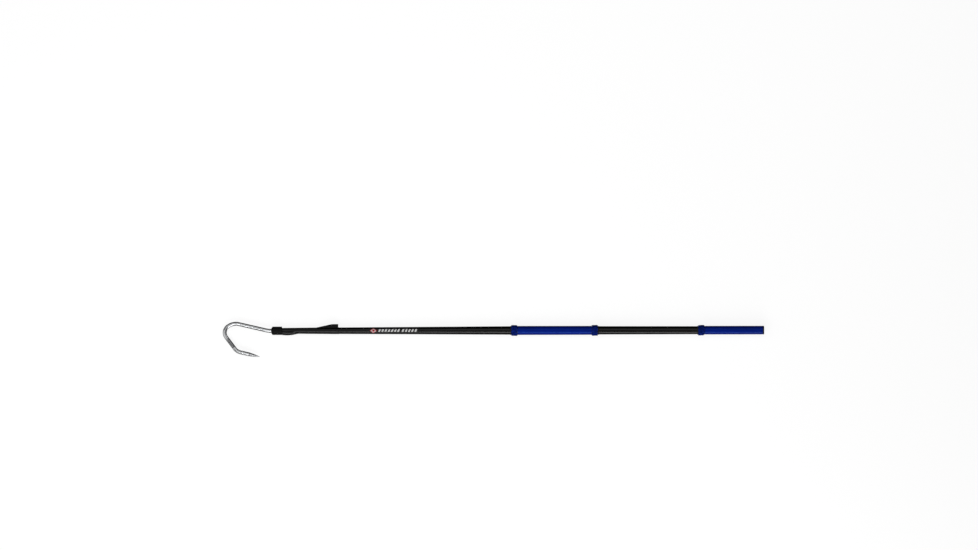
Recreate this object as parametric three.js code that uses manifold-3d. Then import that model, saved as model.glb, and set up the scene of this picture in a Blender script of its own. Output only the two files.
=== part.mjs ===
// Fishing gaff: a barbless stainless hook potted into the tip of a tapered carbon-fibre pole, with two
// shrink-sleeve grips, corded grip ends, a guard keeper near the tip and a cap on the butt.
// Millimetres. The pole lies along X: the butt face is the origin, the hook is at the -X end,
// the hook lies in the XY plane and opens towards -Y, and +Z is up when the gaff lies on its side.
import * as THREE from "three";
import { mergeVertices } from "three/addons/utils/BufferGeometryUtils.js";
import Module from "manifold-3d";

const wasm = await Module();
wasm.setup();

// ---------------------------------------------------------------- driving dimensions
const SIDES = 36; // facets round every coaxial piece, so neighbouring facets lie parallel
const SMALL_SIDES = 16; // facets round screws, rivets and their holes
const FIT = 0.1; // radial gap between coaxial pieces that touch
const CUT_FIT = 0.3; // gap left by a piece that is cut to fit its neighbour

// Outer radius of the bare pole at stations along X, tip first.
const POLE = [
  [-1655.0, 8.72],
  [-1440.0, 10.95],
  [-866.0, 14.2],
  [-572.0, 14.05],
  [-214.0, 13.5],
  [-4.6, 13.5],
];
const POLE_WALL = 1.6;

const ROD = 6.5; // radius of the hook's round bar
const ROD_SIDES = 20;
const BEND_STEP = 10; // degrees of bend between two rings of the bar
const SHANK_TAIL = -1536; // inner end of the shank
const SHANK_STRAIGHT_END = -1668.5; // where the shank starts to bend, just outside the collar
const HOOK_PATH = [
  { bend: -13, radius: 68 },
  { straight: 94 },
  { bend: 50, radius: 45 },
  { bend: 90, radius: 26.5 },
  { straight: 48 },
  { bend: 40, radius: 32.5 },
  { straight: 28 },
];
const POINT_LENGTH = 40; // ground point, beyond the last straight
const KEY_GROOVES = { first: -1545, pitch: 12, count: 2, width: 4, depth: 0.9 };

const COLLAR = { front: -1666, shoulder: -1661.4, rear: -1629.6, radius: 14.13, noseRadius: 7.3, edge: 0.7 };

const TIP_SLEEVE = { front: -1629.3, rear: -1436.5, wall: 0.5 };
// Teardrop fairing under the tip: radius about its own axis, which runs FAIRING_DROP below the pole's axis.
const FAIRING_DROP = 5.5;
const FAIRING = [
  [-1629.2, 8.5],
  [-1621.0, 9.5],
  [-1612.0, 9.8],
  [-1602.0, 8.9],
  [-1592.0, 7.4],
  [-1582.0, 5.0],
  [-1572.0, 2.2],
  [-1566.0, 0],
];
const SHANK_SCREW = { x: -1612, stem: 2.4, head: 4.6, headHeight: 2.6, seat: 10.3, tip: 3.0 };

const KEEPER = { front: -1512, crest: -1461, rear: -1439.6, top: 22.4, toe: 11.2, halfWidth: 6, bevel: 1.1 };
const RIVETS = { keeper_rivet_front: -1489, keeper_rivet_rear: -1450 };
const RIVET = { stem: 1.6, head: 3.0, headHeight: 1.3, bulb: 2.5, bulbLength: 3.5, sink: 0.5 };

const GRIP_WALL = 1.0;
const KNOT = { width: 21.2, height: 4.25 };
const WHIPPING = { turns: 3, cord: 1.1 };
const FORE_GRIP = { front: -833.6, rear: -583.2 };
const REAR_GRIP = { front: -201.8, rear: -4.6 };

const LABEL = { front: -1338, rear: -1165, thickness: 0.25, reach: 0.62 };
const BUTT = { flange: 4.3, edge: 1.2, spigot: 26, chamfer: 1.5 };
const TIP_PLUG = { front: -1529, rear: -1505 };
const BUTT_PLUG = { front: -152, rear: -32 };
const POTTING_REAR = -1530;

// ---------------------------------------------------------------- materials
function material(name, colour, roughness, metalness) {
  const m = new THREE.MeshStandardMaterial({ color: colour, roughness, metalness });
  m.name = name;
  return m;
}

const MATERIALS = {
  steel: material("stainless_steel", 0xc4c6c8, 0.28, 1.0),
  carbon: material("carbon_fibre", 0x131314, 0.22, 0.0),
  blackSleeve: material("black_shrink_sleeve", 0x101011, 0.35, 0.0),
  blackRubber: material("black_rubber", 0x141414, 0.7, 0.0),
  blackNylon: material("black_nylon", 0x121213, 0.55, 0.0),
  blueSleeve: material("blue_shrink_sleeve", 0x061a66, 0.4, 0.0),
  blueCord: material("blue_cord", 0x0b1f72, 0.75, 0.0),
  blackCord: material("black_cord", 0x0e1014, 0.8, 0.0),
  navyRubber: material("navy_rubber", 0x060a2e, 0.6, 0.0),
  aluminium: material("rivet_aluminium", 0x2a2a2c, 0.45, 1.0),
  epoxy: material("cured_epoxy", 0xc9b26a, 0.35, 0.0),
  foam: material("closed_cell_foam", 0xe6e0cc, 0.95, 0.0),
  label: material("label_film", 0x17171a, 0.3, 0.0),
};

// ---------------------------------------------------------------- geometry helpers
const group = new THREE.Group();

function place(name, geometry, look) {
  const mesh = new THREE.Mesh(geometry, look);
  mesh.name = name;
  group.add(mesh);
}

// Radius at x on a table of [x, radius] stations that run from -X to +X.
function radiusAt(stations, x) {
  const after = stations.findIndex(([at]) => at >= x);
  if (after <= 0) return stations[after === 0 ? 0 : stations.length - 1][1];
  const [x0, r0] = stations[after - 1];
  const [x1, r1] = stations[after];
  return r0 + ((x - x0) / (x1 - x0)) * (r1 - r0);
}

// The pole's surface between two stations, moved out by offset, as [x, radius] points.
function poleLine(from, to, offset) {
  const between = POLE.map(([x]) => x).filter((x) => x > from && x < to);
  return [from, ...between, to].map((x) => [x, radiusAt(POLE, x) + offset]);
}

// A solid turned about X. The outline is [x, radius] points, and it closes on itself or on the axis.
function turned(outline, sides = SIDES) {
  const points = outline.map(([x, r]) => new THREE.Vector2(r, x));
  const onAxis = outline[0][1] === 0 && outline.at(-1)[1] === 0;
  if (!onAxis) points.push(points[0].clone());
  if (THREE.ShapeUtils.area(points) < 0) points.reverse();
  return new THREE.LatheGeometry(points, sides).rotateZ(-Math.PI / 2);
}

// A tube between two outlines of [x, radius] points, both listed from -X to +X.
function shell(outer, inner) {
  return turned([...outer, ...inner.toReversed()]);
}

// A short solid turned about Y, standing at x: its outline is [y, radius] points, closed on the axis.
function turnedAboutY(x, outline) {
  return turned(outline, SMALL_SIDES)
    .rotateZ(Math.PI / 2)
    .translate(x, 0, 0);
}

function cylinderAboutY(x, radius, low, high) {
  return turnedAboutY(x, [
    [low, 0],
    [low, radius],
    [high, radius],
    [high, 0],
  ]);
}

function solid(geometry) {
  const bare = geometry.clone();
  bare.deleteAttribute("normal");
  bare.deleteAttribute("uv");
  const merged = mergeVertices(bare, 1e-4);
  return new wasm.Manifold(
    new wasm.Mesh({
      numProp: 3,
      vertProperties: new Float32Array(merged.attributes.position.array),
      triVerts: new Uint32Array(merged.index.array),
    }),
  );
}

function geometryOf(manifold) {
  const mesh = manifold.getMesh();
  const made = new THREE.BufferGeometry();
  made.setAttribute("position", new THREE.BufferAttribute(new Float32Array(mesh.vertProperties), 3));
  made.setIndex(new THREE.BufferAttribute(new Uint32Array(mesh.triVerts), 1));
  made.computeVertexNormals();
  return made;
}

function cut(geometry, ...tools) {
  return geometryOf(tools.reduce((body, tool) => body.subtract(solid(tool)), solid(geometry)));
}

function joined(...geometries) {
  return geometryOf(geometries.map(solid).reduce((a, b) => a.add(b)));
}

// A round bar through stations of { x, y, heading, radius } in the XY plane, closed at both ends.
function roundBar(stations) {
  const rings = stations.map(({ x, y, heading, radius }) =>
    Array.from({ length: ROD_SIDES }, (_, i) => {
      const angle = (2 * Math.PI * i) / ROD_SIDES;
      const side = radius * Math.cos(angle);
      return [x - side * Math.sin(heading), y + side * Math.cos(heading), radius * Math.sin(angle)];
    }),
  );
  const positions = rings.flat();
  const faces = [];
  for (let ring = 0; ring < rings.length - 1; ring++) {
    for (let i = 0; i < ROD_SIDES; i++) {
      const a = ring * ROD_SIDES + i;
      const b = ring * ROD_SIDES + ((i + 1) % ROD_SIDES);
      faces.push(a, b, a + ROD_SIDES, b, b + ROD_SIDES, a + ROD_SIDES);
    }
  }
  const ends = [stations[0], stations.at(-1)];
  ends.forEach(({ x, y }, end) => {
    const first = end * (rings.length - 1) * ROD_SIDES;
    const centre = positions.push([x, y, 0]) - 1;
    for (let i = 0; i < ROD_SIDES; i++) {
      const pair = [first + i, first + ((i + 1) % ROD_SIDES)];
      faces.push(centre, ...(end ? pair : pair.toReversed()));
    }
  });
  const made = new THREE.BufferGeometry();
  made.setAttribute("position", new THREE.Float32BufferAttribute(positions.flat(), 3));
  made.setIndex(faces);
  return made;
}

// ---------------------------------------------------------------- hook
// Walks the bar from the tail of the shank round to the point.
function hookStations() {
  const stations = [];
  const pen = { x: SHANK_TAIL, y: 0, heading: Math.PI };
  const mark = (radius = ROD) => stations.push({ ...pen, radius });
  const forward = (length) => {
    pen.x += length * Math.cos(pen.heading);
    pen.y += length * Math.sin(pen.heading);
  };
  mark(ROD - 1);
  forward(1.5);
  mark();
  for (let i = 0; i < KEY_GROOVES.count; i++) {
    const start = KEY_GROOVES.first - i * KEY_GROOVES.pitch;
    for (const [along, sunk] of [
      [0, 0],
      [0.8, 1],
      [KEY_GROOVES.width - 0.8, 1],
      [KEY_GROOVES.width, 0],
    ]) {
      pen.x = start - along;
      mark(ROD - sunk * KEY_GROOVES.depth);
    }
  }
  pen.x = SHANK_STRAIGHT_END;
  mark();
  for (const piece of HOOK_PATH) {
    if (piece.straight) {
      forward(piece.straight);
      mark();
      continue;
    }
    const steps = Math.ceil(Math.abs(piece.bend) / BEND_STEP);
    const turn = THREE.MathUtils.degToRad(piece.bend) / steps;
    const chord = 2 * piece.radius * Math.sin(Math.abs(turn) / 2);
    for (let i = 0; i < steps; i++) {
      pen.heading += turn / 2;
      forward(chord);
      pen.heading += turn / 2;
      mark();
    }
  }
  // The ground point: a slightly rounded cone.
  for (const [along, thickness] of [
    [0.35, 0.76],
    [0.35, 0.46],
    [0.24, 0.16],
    [0.06, 0.05],
  ]) {
    forward(POINT_LENGTH * along);
    mark(ROD * thickness);
  }
  return stations;
}

place(
  "gaff_hook",
  cut(
    roundBar(hookStations()),
    cylinderAboutY(SHANK_SCREW.x, SHANK_SCREW.stem + FIT, -ROD - 1, SHANK_SCREW.tip + CUT_FIT),
  ),
  MATERIALS.steel,
);

// ---------------------------------------------------------------- pole
const screwHole = (radius) => cylinderAboutY(SHANK_SCREW.x, radius, -20, 0);
const rivetHoles = (radius) => Object.values(RIVETS).map((x) => cylinderAboutY(x, radius, 1, 30));
const poleTip = POLE[0][0];
const poleButt = POLE.at(-1)[0];

place(
  "pole_tube",
  cut(
    shell(poleLine(poleTip, poleButt, 0), poleLine(poleTip, poleButt, -POLE_WALL)),
    screwHole(SHANK_SCREW.stem + CUT_FIT),
    ...rivetHoles(RIVET.stem + FIT),
  ),
  MATERIALS.carbon,
);

// Cured epoxy between the shank and the tube. Its bore is plain, so the shank's grooves stay open.
place(
  "shank_potting",
  cut(
    shell(poleLine(poleTip + 0.5, POTTING_REAR, -POLE_WALL - FIT), [
      [poleTip + 0.5, ROD + FIT],
      [POTTING_REAR, ROD + FIT],
    ]),
    screwHole(SHANK_SCREW.stem + FIT),
  ),
  MATERIALS.epoxy,
);

function plug(name, { front, rear }) {
  const outline = poleLine(front, rear, -POLE_WALL - FIT);
  place(name, turned([[front, 0], ...outline, [rear, 0]]), MATERIALS.foam);
}
plug("tip_foam_plug", TIP_PLUG);
plug("butt_foam_plug", BUTT_PLUG);

// ---------------------------------------------------------------- tip
place(
  "nose_collar",
  turned([
    [COLLAR.front, ROD + FIT],
    [COLLAR.front, COLLAR.noseRadius],
    [COLLAR.shoulder - COLLAR.edge, COLLAR.radius - 2 * COLLAR.edge],
    [COLLAR.shoulder + COLLAR.edge, COLLAR.radius],
    [COLLAR.rear - COLLAR.edge, COLLAR.radius],
    [COLLAR.rear, COLLAR.radius - COLLAR.edge],
    [COLLAR.rear, radiusAt(POLE, COLLAR.rear) + FIT],
    [poleTip - CUT_FIT, radiusAt(POLE, COLLAR.rear) + FIT],
    [poleTip - CUT_FIT, ROD + FIT],
  ]),
  MATERIALS.blackRubber,
);

// The teardrop, swollen by grow, about its own axis below the pole's.
function teardrop(grow) {
  const outline = FAIRING.map(([x, r]) => [x, r === 0 ? 0 : r + grow]);
  return turned([[FAIRING[0][0], 0], ...outline]).translate(0, -FAIRING_DROP, 0);
}

// A solid bar of the pole's own taper, from and to given stations.
function taperBar(from, to, offset) {
  return turned([[from, 0], ...poleLine(from, to, offset), [to, 0]]);
}

const sleeveInner = [TIP_SLEEVE.front - 1, TIP_SLEEVE.rear + 1];
place(
  "tip_sleeve",
  cut(
    joined(
      taperBar(TIP_SLEEVE.front, TIP_SLEEVE.rear, FIT + TIP_SLEEVE.wall),
      teardrop(FIT + TIP_SLEEVE.wall),
    ),
    taperBar(...sleeveInner, FIT),
    teardrop(CUT_FIT / 2).translate(-0.01, 0, 0),
    ...rivetHoles(RIVET.stem + FIT),
    // Squares off the front of the swelling, which stops against the collar.
    new THREE.BoxGeometry(8, 60, 60).translate(TIP_SLEEVE.front - 4, 0, 0),
  ),
  MATERIALS.blackSleeve,
);

place(
  "screw_fairing",
  cut(
    teardrop(0),
    taperBar(TIP_SLEEVE.front - 5, -1500, CUT_FIT),
    screwHole(SHANK_SCREW.stem + CUT_FIT),
    cylinderAboutY(SHANK_SCREW.x, SHANK_SCREW.head + CUT_FIT, -30, -SHANK_SCREW.seat),
    new THREE.BoxGeometry(8, 60, 60).translate(TIP_SLEEVE.front - 3.8, 0, 0),
  ),
  MATERIALS.blackNylon,
);

// Button-head screw through fairing, tube and epoxy into the shank.
const headLow = -SHANK_SCREW.seat - FIT - SHANK_SCREW.headHeight;
place(
  "shank_screw",
  turnedAboutY(SHANK_SCREW.x, [
    [headLow, 0],
    [headLow, SHANK_SCREW.head * 0.6],
    [headLow + SHANK_SCREW.headHeight * 0.45, SHANK_SCREW.head * 0.9],
    [headLow + SHANK_SCREW.headHeight * 0.8, SHANK_SCREW.head],
    [headLow + SHANK_SCREW.headHeight, SHANK_SCREW.head],
    [headLow + SHANK_SCREW.headHeight, SHANK_SCREW.stem],
    [SHANK_SCREW.tip - 0.8, SHANK_SCREW.stem],
    [SHANK_SCREW.tip, SHANK_SCREW.stem - 0.8],
    [SHANK_SCREW.tip, 0],
  ]),
  MATERIALS.steel,
);

// ---------------------------------------------------------------- guard keeper
// Height of the keeper's ramp and crest above the pole's axis.
function keeperTop(x) {
  const climb = (x - KEEPER.front) / (KEEPER.crest - KEEPER.front);
  return KEEPER.toe + Math.min(climb, 1) * (KEEPER.top - KEEPER.toe);
}

function keeperBody() {
  const side = new THREE.Shape();
  side.moveTo(KEEPER.front, 5);
  side.lineTo(KEEPER.rear, 5);
  side.lineTo(KEEPER.rear, KEEPER.top);
  side.lineTo(KEEPER.crest + 4, KEEPER.top);
  side.quadraticCurveTo(KEEPER.crest, KEEPER.top, KEEPER.crest - 4, keeperTop(KEEPER.crest - 4));
  side.lineTo(KEEPER.front, KEEPER.toe);
  const depth = 2 * (KEEPER.halfWidth - KEEPER.bevel);
  return new THREE.ExtrudeGeometry(side, {
    depth,
    curveSegments: 5,
    bevelSize: KEEPER.bevel,
    bevelOffset: -KEEPER.bevel,
    bevelThickness: KEEPER.bevel,
    bevelSegments: 3,
  }).translate(0, 0, -depth / 2);
}

const rivetSeat = (x) => keeperTop(x) - RIVET.headHeight - RIVET.sink;
place(
  "guard_keeper",
  cut(
    keeperBody(),
    taperBar(KEEPER.front - 20, KEEPER.rear + 20, FIT + TIP_SLEEVE.wall + CUT_FIT),
    ...rivetHoles(RIVET.stem + FIT),
    ...Object.values(RIVETS).map((x) => cylinderAboutY(x, RIVET.head + CUT_FIT, rivetSeat(x), 40)),
  ),
  MATERIALS.blackNylon,
);

for (const [name, x] of Object.entries(RIVETS)) {
  const seat = rivetSeat(x) + FIT;
  const bore = radiusAt(POLE, x) - POLE_WALL - CUT_FIT;
  place(
    name,
    turnedAboutY(x, [
      [bore - RIVET.bulbLength, 0],
      [bore - RIVET.bulbLength, RIVET.stem],
      [bore - RIVET.bulbLength / 2, RIVET.bulb],
      [bore - 0.5, RIVET.bulb - 0.3],
      [bore - 0.5, RIVET.stem],
      [seat, RIVET.stem],
      [seat, RIVET.head],
      [seat + RIVET.headHeight * 0.45, RIVET.head * 0.9],
      [seat + RIVET.headHeight * 0.85, RIVET.head * 0.55],
      [seat + RIVET.headHeight, 0],
    ]),
    MATERIALS.aluminium,
  );
}

// ---------------------------------------------------------------- grips
function gripSleeve(name, { front, rear }) {
  const outer = poleLine(front, rear, GRIP_WALL);
  const edge = 0.4;
  outer[0][1] -= edge;
  outer.splice(1, 0, [front + edge, radiusAt(POLE, front) + GRIP_WALL]);
  place(name, shell(outer, poleLine(front, rear, FIT)), MATERIALS.blueSleeve);
}

// A ring round the pole whose outline rises to the given [share of width, share of height] points.
function ring(name, from, width, height, crests, look) {
  const outer = crests.map(([along, up]) => {
    const x = from + along * width;
    return [x, radiusAt(POLE, x) + FIT + up * height];
  });
  place(name, shell(outer, poleLine(from, from + width, FIT)), look);
}

const KNOT_CRESTS = [
  [0, 0.25],
  [0.06, 0.72],
  [0.2, 0.97],
  [0.34, 1],
  [0.5, 0.92],
  [0.66, 1],
  [0.8, 0.97],
  [0.94, 0.72],
  [1, 0.25],
];

// One hump for each turn of the whipping cord.
const WHIPPING_CRESTS = Array.from({ length: WHIPPING.turns }, (_, turn) =>
  [
    [0, 0.35],
    [0.2, 0.85],
    [0.5, 1],
    [0.8, 0.85],
  ].map(([along, up]) => [(turn + along) / WHIPPING.turns, up]),
)
  .flat()
  .concat([[1, 0.35]]);

// A corded grip end: a knot beside the sleeve, then a whipping. Side -1 is towards the tip.
function gripEnd(name, sleeveEdge, side) {
  const whippingWidth = WHIPPING.turns * WHIPPING.cord;
  const gap = 0.2;
  const knotFrom = side < 0 ? sleeveEdge - gap - KNOT.width : sleeveEdge + gap;
  const whippingFrom = side < 0 ? knotFrom - gap - whippingWidth : knotFrom + KNOT.width + gap;
  ring(`${name}_knot`, knotFrom, KNOT.width, KNOT.height, KNOT_CRESTS, MATERIALS.blueCord);
  ring(`${name}_whipping`, whippingFrom, whippingWidth, WHIPPING.cord, WHIPPING_CRESTS, MATERIALS.blackCord);
}

gripSleeve("fore_grip_sleeve", FORE_GRIP);
gripEnd("fore_grip_front", FORE_GRIP.front, -1);
gripEnd("fore_grip_rear", FORE_GRIP.rear, 1);
gripSleeve("rear_grip_sleeve", REAR_GRIP);
gripEnd("rear_grip_front", REAR_GRIP.front, -1);

// ---------------------------------------------------------------- label and butt
// A thin film on the upper side of the pole, cut from a shell by a plane across its upper part.
const labelShell = shell(
  poleLine(LABEL.front, LABEL.rear, FIT + LABEL.thickness),
  poleLine(LABEL.front, LABEL.rear, FIT),
);
const labelFloor = LABEL.reach * radiusAt(POLE, LABEL.front);
place(
  "pole_label",
  cut(labelShell, new THREE.BoxGeometry(4 * -LABEL.front, 60, 60).translate(0, 0, labelFloor - 30)),
  MATERIALS.label,
);

const buttRadius = radiusAt(POLE, poleButt) + GRIP_WALL;
const spigotRadius = radiusAt(POLE, poleButt) - POLE_WALL - FIT;
place(
  "butt_cap",
  turned([
    [-BUTT.flange - BUTT.spigot, 0],
    [-BUTT.flange - BUTT.spigot, spigotRadius - BUTT.chamfer],
    [-BUTT.flange - BUTT.spigot + BUTT.chamfer, spigotRadius],
    [-BUTT.flange, spigotRadius],
    [-BUTT.flange, buttRadius],
    [-BUTT.edge, buttRadius],
    [-BUTT.edge * 0.3, buttRadius - BUTT.edge * 0.3],
    [0, buttRadius - BUTT.edge],
    [0, 0],
  ]),
  MATERIALS.navyRubber,
);

export default group;
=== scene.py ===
import math

import bmesh
import bpy
import numpy as np
from mathutils import Matrix, Vector
from mathutils.kdtree import KDTree


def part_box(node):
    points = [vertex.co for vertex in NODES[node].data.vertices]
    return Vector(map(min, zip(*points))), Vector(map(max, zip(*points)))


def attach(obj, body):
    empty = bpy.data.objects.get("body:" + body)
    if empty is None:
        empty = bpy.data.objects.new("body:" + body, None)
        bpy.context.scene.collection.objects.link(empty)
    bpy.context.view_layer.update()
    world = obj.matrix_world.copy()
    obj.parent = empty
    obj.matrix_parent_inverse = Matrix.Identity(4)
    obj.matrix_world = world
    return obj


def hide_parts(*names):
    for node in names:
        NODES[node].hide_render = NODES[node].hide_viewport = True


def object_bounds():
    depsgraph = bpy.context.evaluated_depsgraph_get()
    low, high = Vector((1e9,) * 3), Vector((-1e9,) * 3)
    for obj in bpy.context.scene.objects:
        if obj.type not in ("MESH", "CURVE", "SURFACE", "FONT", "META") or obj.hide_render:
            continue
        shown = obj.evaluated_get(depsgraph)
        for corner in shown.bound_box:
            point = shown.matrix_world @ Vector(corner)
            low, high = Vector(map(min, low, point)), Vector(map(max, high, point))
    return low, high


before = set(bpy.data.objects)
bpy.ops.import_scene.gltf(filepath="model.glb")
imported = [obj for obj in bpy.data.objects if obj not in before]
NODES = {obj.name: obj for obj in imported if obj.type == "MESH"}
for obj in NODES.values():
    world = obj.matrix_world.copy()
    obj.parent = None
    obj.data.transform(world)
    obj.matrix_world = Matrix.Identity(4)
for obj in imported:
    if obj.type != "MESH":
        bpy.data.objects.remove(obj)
cad_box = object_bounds()

# The looks of a carbon-fibre fishing gaff. Metres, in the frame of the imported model: the pole lies along X,
# its butt face is the origin, the hook is at the -X end, lies in the XY plane and opens towards -Y.

TURN = 2 * math.pi
SIDES = 96  # round the pole and whatever is turned to fit it

# ---------------------------------------------------------------- places taken from the frame
FLOOR_TOP = cad_box[0].z - 0.0002


def span(node):
    """Where a node starts and ends along X."""
    low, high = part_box(node)
    return low.x, high.x


# ---------------------------------------------------------------- dimensions shared with the CAD model
# Outer radius of the bare pole at stations along X, tip first.
POLE_X = (-1.655, -1.440, -0.866, -0.572, -0.214, -0.0046)
POLE_R = (0.00872, 0.01095, 0.01420, 0.01405, 0.01350, 0.01350)
POLE_WALL = 0.0016
FIT = 0.0001  # clearance between pieces that touch

ROD = 0.0065  # radius of the hook's bar
SHANK_STRAIGHT_END = -1.6685
SHANK_CHAMFER = 0.001
HOOK_PATH = (
    ("bend", -13, 0.068),
    ("straight", 0.094),
    ("bend", 50, 0.045),
    ("bend", 90, 0.0265),
    ("straight", 0.048),
    ("bend", 40, 0.0325),
    ("straight", 0.028),
)
POINT = 0.040  # length of the ground point
KEY_GROOVES = (-1.545, -1.557)  # where each groove of the shank starts, and they run towards the hook
GROOVE_WIDTH = 0.004
GROOVE_DEPTH = 0.0009
SCREW_X = -1.612
SCREW_BORE = 0.0025
SCREW_BORE_END = 0.0033  # how far past the bar's middle the blind bore reaches

COLLAR_RADIUS = 0.01413
COLLAR_FACE = 0.0074  # radius of its front face, from which the nose slopes up to the shoulder
COLLAR_NOSE = 0.0046

SKIN = 0.0005  # wall of the tip sleeve
FAIRING_DROP = 0.0055  # the fairing's own axis below the pole's
FAIRING_PEAK = 0.0098
FAIRING_END = -1.566

KEEPER_CREST = -1.461
KEEPER_TOP = 0.0224
KEEPER_HALF_WIDTH = 0.006
KEEPER_TOE_TOP = 0.0112
RIVET_HEAD = 0.0030
RIVET_HEAD_HEIGHT = 0.0013
RIVET_STEM = 0.0016
RIVET_POCKET = 0.0033

GRIP_WALL = 0.0010
KNOT_CORD = 0.0020
WHIPPING_CORD = 0.0011


def pole_radius(x):
    return np.interp(x, POLE_X, POLE_R)


# Marks on the bar, by distance from the shank's tail.
ETCHED = (0.3285, 0.3655)
ETCHED_ABOVE = 0.0012  # the band covers the bar's upper side from this height
ETCHED_PITCH = 0.0036
GROUND = (0.4215, 0.4235)  # where the point's cross-grinding fades in


# ---------------------------------------------------------------- mesh helpers
def piece_from(name, points, faces):
    """A smooth-shaded piece with its faces pointing out."""
    mesh = bpy.data.meshes.new(name)
    mesh.from_pydata(np.asarray(points, float).tolist(), [], faces)
    turned_out = bmesh.new()
    turned_out.from_mesh(mesh)
    bmesh.ops.recalc_face_normals(turned_out, faces=turned_out.faces)
    turned_out.to_mesh(mesh)
    turned_out.free()
    mesh.shade_smooth()
    piece = bpy.data.objects.new(name, mesh)
    bpy.context.scene.collection.objects.link(piece)
    return piece


def grid_faces(rows, columns, rows_close, columns_close=True, first=0):
    """Four-sided faces over a grid of points that are numbered row by row."""
    faces = []
    for row in range(rows if rows_close else rows - 1):
        here = first + row * columns
        there = first + ((row + 1) % rows) * columns
        for column in range(columns if columns_close else columns - 1):
            beside = (column + 1) % columns
            faces.append((here + column, here + beside, there + beside, there + column))
    return faces


def skinned(name, rings, closes=False):
    """A piece over rings of points, with its ends closed by fans unless the rings close on themselves."""
    rings = np.asarray(rings, float)
    count, sides = rings.shape[:2]
    points = rings.reshape(-1, 3)
    faces = grid_faces(count, sides, closes)
    if not closes:
        points = np.vstack([points, rings[0].mean(0), rings[-1].mean(0)])
        for ring, centre in ((0, count * sides), (count - 1, count * sides + 1)):
            start = ring * sides
            faces += [(start + i, start + (i + 1) % sides, centre) for i in range(sides)]
    return piece_from(name, points, faces)


def rounded(corners, closes=True, steps=5):
    """An outline of (x, radius, fillet) corners with each fillet drawn as an arc."""
    outline = []
    for i, (x, r, fillet) in enumerate(corners):
        at_end = not closes and i in (0, len(corners) - 1)
        if fillet == 0 or at_end:
            outline.append((x, r))
            continue
        here = np.array((x, r))
        before = np.array(corners[i - 1][:2]) - here
        after = np.array(corners[(i + 1) % len(corners)][:2]) - here
        before /= np.linalg.norm(before)
        after /= np.linalg.norm(after)
        half = math.acos(np.clip(before @ after, -1, 1)) / 2
        reach = fillet / math.tan(half)
        middle = here + (before + after) / np.linalg.norm(before + after) * fillet / math.sin(half)
        first = here + before * reach - middle
        last = here + after * reach - middle
        swing = math.pi - 2 * half
        for step in range(steps + 1):
            share = step / steps
            arm = (math.sin((1 - share) * swing) * first + math.sin(share * swing) * last) / math.sin(swing)
            outline.append(tuple(middle + arm))
    return outline


def circle(sides=SIDES):
    """Angles round the pole's axis, from +Y towards +Z."""
    return np.arange(sides) * TURN / sides


def turned_rings(outline, sides=SIDES):
    """Rings about the X axis, one for each (x, radius) of an outline."""
    angles = circle(sides)
    return [np.c_[np.full(sides, x), r * np.cos(angles), r * np.sin(angles)] for x, r in outline]


def turned(name, corners, sides=SIDES, hollow=True):
    return skinned(name, turned_rings(rounded(corners, hollow), sides), closes=hollow)


def stood_along_y(piece, x):
    """Turns a piece made about X so that it stands along Y at x."""
    piece.data.transform(Matrix.Translation((x, 0, 0)) @ Matrix.Rotation(math.pi / 2, 4, "Z"))
    return piece


def cut_by(piece, cutters):
    """Cuts other pieces out of a piece and deletes them."""
    for cutter in cutters:
        cut = piece.modifiers.new("cut", "BOOLEAN")
        cut.operation = "DIFFERENCE"
        cut.solver = "EXACT"
        cut.object = cutter
    evaluated = piece.evaluated_get(bpy.context.evaluated_depsgraph_get())
    mesh = bpy.data.meshes.new_from_object(evaluated)
    piece.modifiers.clear()
    piece.data = mesh
    for cutter in cutters:
        bpy.data.objects.remove(cutter)
    return piece


def sharp_over(piece, degrees):
    piece.data.set_sharp_from_angle(angle=math.radians(degrees))
    return piece


def point_vectors(piece, name, values):
    """Stores a vector for each point of a piece, which its material reads by name."""
    layer = piece.data.attributes.new(name, "FLOAT_VECTOR", "POINT")
    layer.data.foreach_set("vector", np.asarray(values, np.float32).ravel())


def smooth_max(a, b, softness):
    """The larger of two values, with the step between them rounded off."""
    return 0.5 * (a + b + np.sqrt((a - b) ** 2 + softness**2))


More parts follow.
